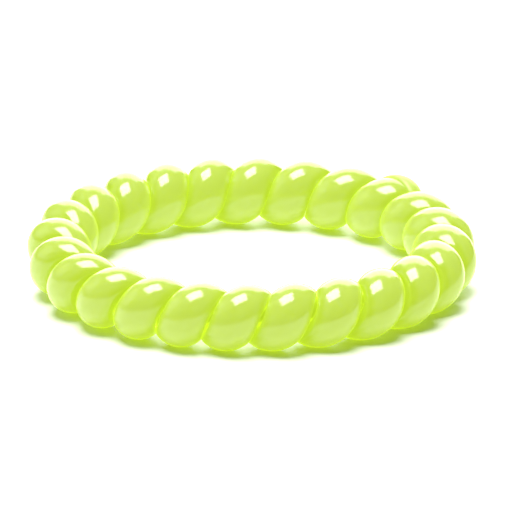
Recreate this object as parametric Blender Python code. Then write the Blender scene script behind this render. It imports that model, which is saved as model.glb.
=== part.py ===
"""Spring coil ring: one soft plastic cord wound into a closed ring of 24 turns.

The cord is modelled turn by turn, because each turn moves away from its neighbours when the ring is
stretched. The turns press on each other, so the cord is flat-sided with a low crown. It is cut at
the top of every turn, and it starts and ends under one turn, where the ring of joints is open. The
weld that closes the real ring is a little further on, at the top of that turn.
Metres, +Z up, the ring lying on the plane z = 0 with its axis on Z.
"""

import math

import bpy
import numpy as np
from mathutils import Matrix, Vector

MM = 0.001

# The ring and its coil.
RING_RADIUS = 23.5 * MM  # from the ring's axis to the middle of the coil
COIL_HEIGHT = 3.95 * MM  # of the middle of the coil above the floor
TURNS = 24

# The cord's section, measured from the middle of the coil. Neighbouring turns press each other's
# sides flat up to the shoulders, and a low crown stands above these.
SHOULDER_RADIUS = 2.8 * MM  # where the cord is widest
CROWN_HEIGHT = 1.2 * MM
CROWN_POWER = 0.8  # 0.5 is an ellipse and 1 a parabola
ROOT_DEPTH = 2.2 * MM  # from the shoulders in to the side that faces the middle of the coil
ROOT_SQUARENESS = 2.6  # 2 is an ellipse
HALF_WIDTH = 2.8 * MM  # where the turns stand too far apart to touch
TURN_GAP = 0.4 * MM  # between the sides of two turns
FLAT_DEPTH = 0.3 * MM  # a corner this close to the floor lies on it, so each turn rests on a small flat

# Where the count of turns starts: its angle round the ring, and its place round the coil, where 0 is
# outermost and 90 is the top, so -90 is underneath.
START_ANGLE = 35.85  # degrees
START_PHASE = -90.0  # degrees
WELD_TURN = 150 / 360  # of the weld, in turns from the start

# How far the turns are pushed out of even spacing, in degrees of ring angle:
# (times round the ring, cosine part, sine part).
CROWDING = ((1, -1.3, -0.45), (2, 0.0, 2.05), (3, 0.0, -0.5))

# The cord's pieces.
CORD_GAP = 0.5 * MM  # between the end faces of two pieces of cord
BEAD_THICKER = 0.3 * MM  # how much higher its crown is than the cord's
BEAD_LIFT = 0.3 * MM  # how far the bead stands out from the cord's line, away from the coil's middle
BEAD_LENGTH = 0.8 * MM
BEAD_GAP = 0.4 * MM  # between the bead and the cord on each side of it

POINTS_PER_TURN = 20
SIDES = 16
EDGE_ANGLE = math.radians(60)  # sharper edges than this aren't shaded smooth
SLOPE_STEP = 0.001  # turns to each side of a point where the slope is measured

# Soft, glossy, see-through plastic.
LIME = (0.62, 0.83, 0.13, 1.0)
WELD_LIME = (0.56, 0.78, 0.11, 1.0)
ROUGHNESS = 0.12
TRANSMISSION = 0.3


def ring_angle(turns):
    """The angle round the ring, in radians, after this many turns from the start."""
    even = math.radians(START_ANGLE) + 2 * math.pi * turns / TURNS
    pushed = 0.0
    for times, cosine, sine in CROWDING:
        pushed += cosine * math.cos(times * even) + sine * math.sin(times * even)
    return even + math.radians(pushed)


def section_shares():
    """The cord's section, corner by corner: shares of its half width, its crown and its root."""
    shares = []
    for side in range(SIDES):
        corner = 2 * math.pi * side / SIDES
        across, out = math.sin(corner), math.cos(corner)
        if out > 0:
            shares.append((across, (1 - across**2) ** CROWN_POWER, 0.0))
        else:
            power = 2 / ROOT_SQUARENESS
            shares.append((math.copysign(abs(across) ** power, across), 0.0, abs(out) ** power))
    return shares


def cord_ring(turns, thicker=0.0, lift=0.0):
    """The corners of the cord's section after this many turns from the start."""
    phase = math.radians(START_PHASE) + 2 * math.pi * turns
    angle_per_turn = (ring_angle(turns + SLOPE_STEP) - ring_angle(turns - SLOPE_STEP)) / (2 * SLOPE_STEP)
    shoulder_reach = RING_RADIUS + SHOULDER_RADIUS * math.cos(phase)
    half_width = min(HALF_WIDTH, (angle_per_turn * shoulder_reach - TURN_GAP) / 2)
    corners = []
    for across, crown, root in section_shares():
        radius = SHOULDER_RADIUS + lift + (CROWN_HEIGHT + thicker) * crown - ROOT_DEPTH * root
        angle = ring_angle(turns) + across * half_width / shoulder_reach
        reach = RING_RADIUS + radius * math.cos(phase)
        height = COIL_HEIGHT + radius * math.sin(phase)
        if height < FLAT_DEPTH:
            height = 0.0
        corners.append((reach * math.cos(angle), reach * math.sin(angle), height))
    return corners


def cord_middle(turns):
    """The middle of the cord's section after this many turns from the start."""
    return Vector(np.mean(cord_ring(turns), axis=0))


def turns_per_metre(turns):
    """Turns per metre of cord, to set a gap by its length."""
    chord = cord_middle(turns + SLOPE_STEP) - cord_middle(turns - SLOPE_STEP)
    return 2 * SLOPE_STEP / chord.length


def make_material(name, colour):
    material = bpy.data.materials.new(name)
    material.use_nodes = True
    shader = material.node_tree.nodes["Principled BSDF"]
    shader.inputs["Base Color"].default_value = colour
    shader.inputs["Roughness"].default_value = ROUGHNESS
    shader.inputs["Metallic"].default_value = 0.0
    shader.inputs["Transmission Weight"].default_value = TRANSMISSION
    material.diffuse_color = colour
    return material


def cord_mesh(name, first, last, thicker=0.0, lift=0.0):
    """A closed mesh of the cord from first to last, both counted in turns from the start.

    It is a loft through sections that turn with the coil and change in width as the turns crowd.
    """
    count = max(2, round((last - first) * POINTS_PER_TURN) + 1)
    corners = []
    for turns in np.linspace(first, last, count):
        corners.extend(cord_ring(turns, thicker, lift))
    faces = []
    for station in range(count - 1):
        for side in range(SIDES):
            this = station * SIDES + side
            following = station * SIDES + (side + 1) % SIDES
            faces.append((this, following, following + SIDES))
            faces.append((this, following + SIDES, this + SIDES))
    for station, order in ((0, -1), (count - 1, 1)):
        middle = len(corners)
        ring = corners[station * SIDES : (station + 1) * SIDES]
        corners.append(tuple(np.mean(ring, axis=0)))
        for side in range(SIDES):
            ends = (station * SIDES + side, station * SIDES + (side + 1) % SIDES)
            faces.append((middle, *ends[::order]))
    mesh = bpy.data.meshes.new(name)
    mesh.from_pydata(corners, [], faces)
    return mesh


def place_piece(name, mesh, turn, collection, material):
    """The mesh as an object, with its origin on the coil's middle line at its own turn."""
    angle = ring_angle(turn)
    origin = Vector((RING_RADIUS * math.cos(angle), RING_RADIUS * math.sin(angle), 0.0))
    mesh.transform(Matrix.Translation(-origin))
    mesh.shade_smooth()
    mesh.set_sharp_from_angle(angle=EDGE_ANGLE)
    mesh.materials.append(material)
    piece = bpy.data.objects.new(name, mesh)
    piece.location = origin
    collection.objects.link(piece)


def main():
    for obj in list(bpy.data.objects):
        bpy.data.objects.remove(obj)

    parts = bpy.data.collections.new("spring_coil_ring")
    bpy.context.scene.collection.children.link(parts)
    lime = make_material("lime_cord", LIME)
    weld_lime = make_material("weld_lime", WELD_LIME)

    # Where the cord is cut, in turns: the first piece ends at the weld, the last one at the start.
    weld_cut = 1
    cuts = [0.0, WELD_TURN, *(turn + 0.5 for turn in range(1, TURNS)), TURNS]
    clearances = [CORD_GAP / 2] * len(cuts)
    clearances[weld_cut] = BEAD_LENGTH / 2 + BEAD_GAP

    for turn in range(TURNS + 1):
        first = cuts[turn] + clearances[turn] * turns_per_metre(cuts[turn])
        last = cuts[turn + 1] - clearances[turn + 1] * turns_per_metre(cuts[turn + 1])
        name = f"coil_turn_{turn:02d}"
        if turn == 0:
            name = "coil_start_half"
        elif turn == TURNS:
            name = "coil_end_half"
        place_piece(name, cord_mesh(name, first, last), turn, parts, lime)

    bead_half = BEAD_LENGTH / 2 * turns_per_metre(WELD_TURN)
    bead = cord_mesh(
        "weld_bead", WELD_TURN - bead_half, WELD_TURN + bead_half, BEAD_THICKER, BEAD_LIFT
    )
    place_piece("weld_bead", bead, WELD_TURN, parts, weld_lime)


main()
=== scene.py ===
"""Looks of the spring coil ring: one glossy, milky lime cord wound into a closed ring of 24 turns.

The cord is swept as 24 pieces, one for each joint of the ring. Each piece runs from under one turn
to under the next. A collar of fused plastic covers the weld.
"""

import math

import bpy
import numpy as np
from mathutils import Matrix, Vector


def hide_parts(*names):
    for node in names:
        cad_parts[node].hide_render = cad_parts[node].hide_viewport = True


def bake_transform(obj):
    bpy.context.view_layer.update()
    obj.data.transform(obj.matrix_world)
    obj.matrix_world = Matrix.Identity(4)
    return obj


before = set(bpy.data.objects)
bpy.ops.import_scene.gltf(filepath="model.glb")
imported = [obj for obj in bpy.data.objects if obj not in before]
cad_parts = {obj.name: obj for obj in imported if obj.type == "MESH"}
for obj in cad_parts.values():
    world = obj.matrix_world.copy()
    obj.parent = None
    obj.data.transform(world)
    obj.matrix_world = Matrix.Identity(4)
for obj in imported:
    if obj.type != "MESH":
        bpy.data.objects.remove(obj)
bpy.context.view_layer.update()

MM = 0.001

# The ring and its coil, as in the CAD model.
RING_RADIUS = 23.5 * MM  # from the ring's axis to the middle of the coil
COIL_HEIGHT = 3.95 * MM  # of the middle of the coil above the floor
TURNS = 24
START_ANGLE = 35.85  # of the count of turns, in degrees round the ring
START_PHASE = -90.0  # the count starts under a turn: 0 is outermost and 90 is the top
WELD_TURN = 150 / 360

# How far the turns are pushed out of even spacing, in degrees of ring angle:
# (times round the ring, cosine part, sine part).
CROWDING = ((1, -1.3, -0.45), (2, 0.0, 2.05), (3, 0.0, -0.5))

# The cord's own section. Its turns press on each other up to the shoulders, and a low crown stands
# above these. All of it is measured from the middle of the coil.
SHOULDER_RADIUS = 2.8 * MM  # where the cord is widest
CROWN_HEIGHT = 1.22 * MM
CROWN_POWER = 0.8  # 0.5 is an ellipse and 1 a parabola
CROWN_SWELL = 0.45 * MM  # how much higher the crown stands at SWELL_ANGLE round the ring
SWELL_ANGLE = 135.0
ROOT_DEPTH = 2.4 * MM  # from the shoulders in to the side that faces the middle of the coil
ROOT_SQUARENESS = 2.6  # 2 is an ellipse
HALF_WIDTH = 2.9 * MM
WIDEST_SHARE = 0.498  # half the cord's width as a share of the room that a turn has
STATIONS = 64  # along one turn
SIDES = 48
SLOPE_STEP = 0.001  # turns to each side of a point where the room for a turn is measured
EDGE_ANGLE = math.radians(60)  # sharper edges than this aren't shaded smooth

# The collar of fused plastic round the weld.
COLLAR_TURNS = 0.055  # half its length
COLLAR_STATIONS = 24
COLLAR_HEIGHT = 0.65 * MM
COLLAR_SUNK = 0.05 * MM  # how far its thin ends lie inside the cord

# Colours of the plastic, as linear values.
LIME = (0.18, 0.21, 0.09, 1.0)
LIME_PAINTED_GROOVE_SHADE = (0.14, 0.18, 0.035, 1.0)  # painted shade, deeper and more saturated down in the grooves between the turns
CROWN_ATTRIBUTE = "crown"
GROOVE_CROWN = 0.3  # shares of the crown's height between which the painted groove shade fades
OPEN_CROWN = 0.7
CLOUD_SCALE = 120.0  # per metre
CLOUD_SHARE = 0.15
THROUGH = (0.18, 0.26, 0.01, 1.0)  # what the plastic lets through to the surface that it shades
PAINTED_GLOW = (0.4, 0.56, 0.02, 1.0)  # painted glow: the plastic gives off this light itself, in place of light spread through the milky plastic
PAINTED_GLOW_STRENGTH = 1.0
PLASTIC_ROUGHNESS = 0.15
WELD_ROUGHNESS = 0.45  # where melting has dulled it
PLASTIC_IOR = 1.6
SCATTER_SHARE = 1.0
SCATTER_RADIUS = (1.0, 1.0, 0.25)  # red and green light spread further than blue
SCATTER_SCALE = 6.0 * MM

# The studio.
CAMERA_ELEVATION = 19.13  # degrees above the floor, over the ring's -Y side
CAMERA_DISTANCE = 0.987  # metres
CAMERA_LENS = 562.5  # millimetres, which shows the ring almost without perspective
CAMERA_TARGET = (0.49 * MM, 10.5 * MM, 0.0)
FLOOR_SIZE = 4.0
FLOOR_DROP = 0.02 * MM
FLOOR_WHITE = (0.9, 0.9, 0.9, 1.0)
FLOOR_ROUGHNESS = 0.45
WORLD_WHITE = (1.0, 1.0, 1.0, 1.0)
WORLD_STRENGTH = 0.03
SOFTBOX_DISTANCE = 0.6
SOFTBOXES = (  # name, the direction it stands in, size in metres, power in watts
    ("overhead_softbox", (-0.10, -0.04, 0.99), 0.38, 6.0),
    ("back_softbox", (0.05, 0.9, 0.42), 0.6, 4.0),
    ("left_softbox", (-0.88, 0.2, 0.47), 0.4, 0.4),
)


def ring_angle(turns):
    """The angle round the ring, in radians, after this many turns."""
    even = math.radians(START_ANGLE) + 2 * math.pi * turns / TURNS
    pushed = 0.0
    for times, cosine, sine in CROWDING:
        pushed = pushed + cosine * np.cos(times * even) + sine * np.sin(times * even)
    return even + np.radians(pushed)


def section():
    """The cord's section, corner by corner: shares of its half width, its crown and its root."""
    turn = 2 * math.pi * np.arange(SIDES) / SIDES
    across, out = np.sin(turn), np.cos(turn)
    crown = np.maximum(1 - across**2, 0.0) ** CROWN_POWER
    power = 2 / ROOT_SQUARENESS
    inner = out < 0
    root = np.where(inner, np.abs(out) ** power, 0.0)
    across = np.where(inner, np.sign(across) * np.abs(across) ** power, across)
    return across, np.where(inner, 0.0, crown), root


def cord_rings(turns, thicker):
    """The corners of the cord's section at each of these turns, thicker by this much."""
    across, crown, root = section()
    thicker = np.broadcast_to(thicker, turns.shape)[:, None]
    turns = turns[:, None]
    phase = math.radians(START_PHASE) + 2 * math.pi * turns
    swell = CROWN_SWELL * np.cos((ring_angle(turns) - math.radians(SWELL_ANGLE)) / 2) ** 4
    swell = swell * np.maximum(np.sin(phase), 0.0)
    radius = SHOULDER_RADIUS + (CROWN_HEIGHT + swell + thicker) * crown - ROOT_DEPTH * root
    reach = RING_RADIUS + radius * np.cos(phase)
    room = (ring_angle(turns + SLOPE_STEP) - ring_angle(turns - SLOPE_STEP)) / (2 * SLOPE_STEP)
    half_width = np.minimum(HALF_WIDTH / reach, WIDEST_SHARE * room) + thicker / reach
    angle = ring_angle(turns) + half_width * across
    height = np.maximum(COIL_HEIGHT + radius * np.sin(phase), 0.0)
    return np.stack([reach * np.cos(angle), reach * np.sin(angle), height], axis=-1)


def sweep(name, turns, thicker=0.0):
    """A closed tube along the cord, with a ring of points at each of these turns.

    Its points come ring by ring, and the middles of the two end faces come last.
    """
    rings = cord_rings(turns, thicker)
    points = [tuple(point) for point in rings.reshape(-1, 3)]
    faces = []
    for station in range(len(turns) - 1):
        for side in range(SIDES):
            this, following = station * SIDES + side, station * SIDES + (side + 1) % SIDES
            faces.append((this, following, following + SIDES, this + SIDES))
    for station, order in ((0, -1), (len(turns) - 1, 1)):
        centre = len(points)
        points.append(tuple(rings[station].mean(axis=0)))
        for side in range(SIDES):
            ends = (station * SIDES + side, station * SIDES + (side + 1) % SIDES)
            faces.append((centre, *ends[::order]))
    mesh = bpy.data.meshes.new(name)
    mesh.from_pydata(points, [], faces)

    # The crown's share at each point, which the material reads to paint shade into the grooves.
    crown = section()[1]
    heights = np.append(np.tile(crown, len(turns)), [crown.mean(), crown.mean()])
    attribute = mesh.attributes.new(CROWN_ATTRIBUTE, "FLOAT", "POINT")
    attribute.data.foreach_set("value", heights.astype(np.float32))

    mesh.shade_smooth()
    mesh.set_sharp_from_angle(angle=EDGE_ANGLE)
    piece = bpy.data.objects.new(name, mesh)
    bpy.context.scene.collection.objects.link(piece)
    return piece


def join_bodies(piece):
    """Bakes the piece's placement into its points."""
    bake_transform(piece)


def make_cord(material):
    for turn in range(1, TURNS + 1):
        turns = np.linspace(turn - 1, turn, STATIONS + 1)
        piece = sweep(f"cord_turn_{turn:02d}", turns)
        join_bodies(piece)
        piece.data.materials.append(material)
        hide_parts("coil_end_half" if turn == TURNS else f"coil_turn_{turn:02d}")
        if turn == 1:
            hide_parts("coil_start_half")


def make_collar(material):
    across_weld = np.linspace(-1.0, 1.0, COLLAR_STATIONS + 1)
    rise = np.sqrt(1 - across_weld**2)
    turns = WELD_TURN + COLLAR_TURNS * across_weld
    piece = sweep("weld_collar", turns, thicker=COLLAR_HEIGHT * rise - COLLAR_SUNK)
    join_bodies(piece)
    piece.data.materials.append(material)
    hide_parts("weld_bead")


def lime_plastic(name, roughness):
    material = bpy.data.materials.new(name)
    material.use_nodes = True
    nodes = material.node_tree.nodes
    links = material.node_tree.links
    shader = nodes["Principled BSDF"]
    shader.inputs["Roughness"].default_value = roughness
    shader.inputs["IOR"].default_value = PLASTIC_IOR
    # A painted glow: the plastic emits light of its own in place of light carried through it.
    shader.inputs["Emission Color"].default_value = PAINTED_GLOW
    shader.inputs["Emission Strength"].default_value = PAINTED_GLOW_STRENGTH
    shader.inputs["Subsurface Weight"].default_value = SCATTER_SHARE
    shader.inputs["Subsurface Radius"].default_value = SCATTER_RADIUS
    shader.inputs["Subsurface Scale"].default_value = SCATTER_SCALE

    # Painted shade deepens the colour towards the grooves, along a border that wanders a little.
    depth = nodes.new("ShaderNodeAttribute")
    depth.attribute_name = CROWN_ATTRIBUTE
    place = nodes.new("ShaderNodeTexCoord")
    cloud = nodes.new("ShaderNodeTexNoise")
    cloud.inputs["Scale"].default_value = CLOUD_SCALE
    wander = nodes.new("ShaderNodeMath")
    wander.operation = "MULTIPLY_ADD"
    wander.inputs[1].default_value = CLOUD_SHARE
    fade = nodes.new("ShaderNodeMapRange")
    fade.interpolation_type = "SMOOTHSTEP"
    fade.inputs["From Min"].default_value = GROOVE_CROWN
    fade.inputs["From Max"].default_value = OPEN_CROWN
    tint = nodes.new("ShaderNodeMix")
    tint.data_type = "RGBA"
    tint.inputs["A"].default_value = LIME_PAINTED_GROOVE_SHADE
    tint.inputs["B"].default_value = LIME
    links.new(place.outputs["Object"], cloud.inputs["Vector"])
    links.new(cloud.outputs["Fac"], wander.inputs[0])
    links.new(depth.outputs["Fac"], wander.inputs[2])
    links.new(wander.outputs["Value"], fade.inputs["Value"])
    links.new(fade.outputs["Result"], tint.inputs["Factor"])
    links.new(tint.outputs["Result"], shader.inputs["Base Color"])

    # Light that crosses the plastic on its way to a surface comes out tinted.
    path = nodes.new("ShaderNodeLightPath")
    through = nodes.new("ShaderNodeBsdfTransparent")
    through.inputs["Color"].default_value = THROUGH
    choose = nodes.new("ShaderNodeMixShader")
    links.new(path.outputs["Is Shadow Ray"], choose.inputs["Fac"])
    links.new(shader.outputs["BSDF"], choose.inputs[1])
    links.new(through.outputs["BSDF"], choose.inputs[2])
    links.new(choose.outputs["Shader"], nodes["Material Output"].inputs["Surface"])
    return material


def make_floor():
    mesh = bpy.data.meshes.new("floor")
    half = FLOOR_SIZE / 2
    corners = [(-half, -half), (half, -half), (half, half), (-half, half)]
    mesh.from_pydata([(x, y, -FLOOR_DROP) for x, y in corners], [], [(0, 1, 2, 3)])
    floor = bpy.data.objects.new("floor", mesh)
    bpy.context.scene.collection.objects.link(floor)
    material = bpy.data.materials.new("white_floor")
    material.use_nodes = True
    shader = material.node_tree.nodes["Principled BSDF"]
    shader.inputs["Base Color"].default_value = FLOOR_WHITE
    shader.inputs["Roughness"].default_value = FLOOR_ROUGHNESS
    mesh.materials.append(material)


def make_lights():
    world = bpy.data.worlds.new("studio")
    world.use_nodes = True
    background = world.node_tree.nodes["Background"]
    background.inputs["Color"].default_value = WORLD_WHITE
    background.inputs["Strength"].default_value = WORLD_STRENGTH
    bpy.context.scene.world = world

    for name, direction, size, power in SOFTBOXES:
        softbox = bpy.data.lights.new(name, "AREA")
        softbox.size = size
        softbox.energy = power
        lamp = bpy.data.objects.new(name, softbox)
        lamp.location = Vector(direction).normalized() * SOFTBOX_DISTANCE
        lamp.rotation_euler = Vector(direction).to_track_quat("Z", "Y").to_euler()
        bpy.context.scene.collection.objects.link(lamp)


def make_camera():
    elevation = math.radians(CAMERA_ELEVATION)
    away = Vector((0.0, -math.cos(elevation), math.sin(elevation)))
    lens = bpy.data.cameras.new("camera")
    lens.lens = CAMERA_LENS
    camera = bpy.data.objects.new("camera", lens)
    camera.location = Vector(CAMERA_TARGET) + away * CAMERA_DISTANCE
    camera.rotation_euler = away.to_track_quat("Z", "Y").to_euler()
    bpy.context.scene.collection.objects.link(camera)
    bpy.context.scene.camera = camera


make_camera()
make_floor()
make_lights()
make_cord(lime_plastic("lime_plastic", PLASTIC_ROUGHNESS))
make_collar(lime_plastic("fused_lime_plastic", WELD_ROUGHNESS))
bpy.context.scene.view_settings.view_transform = "Standard"
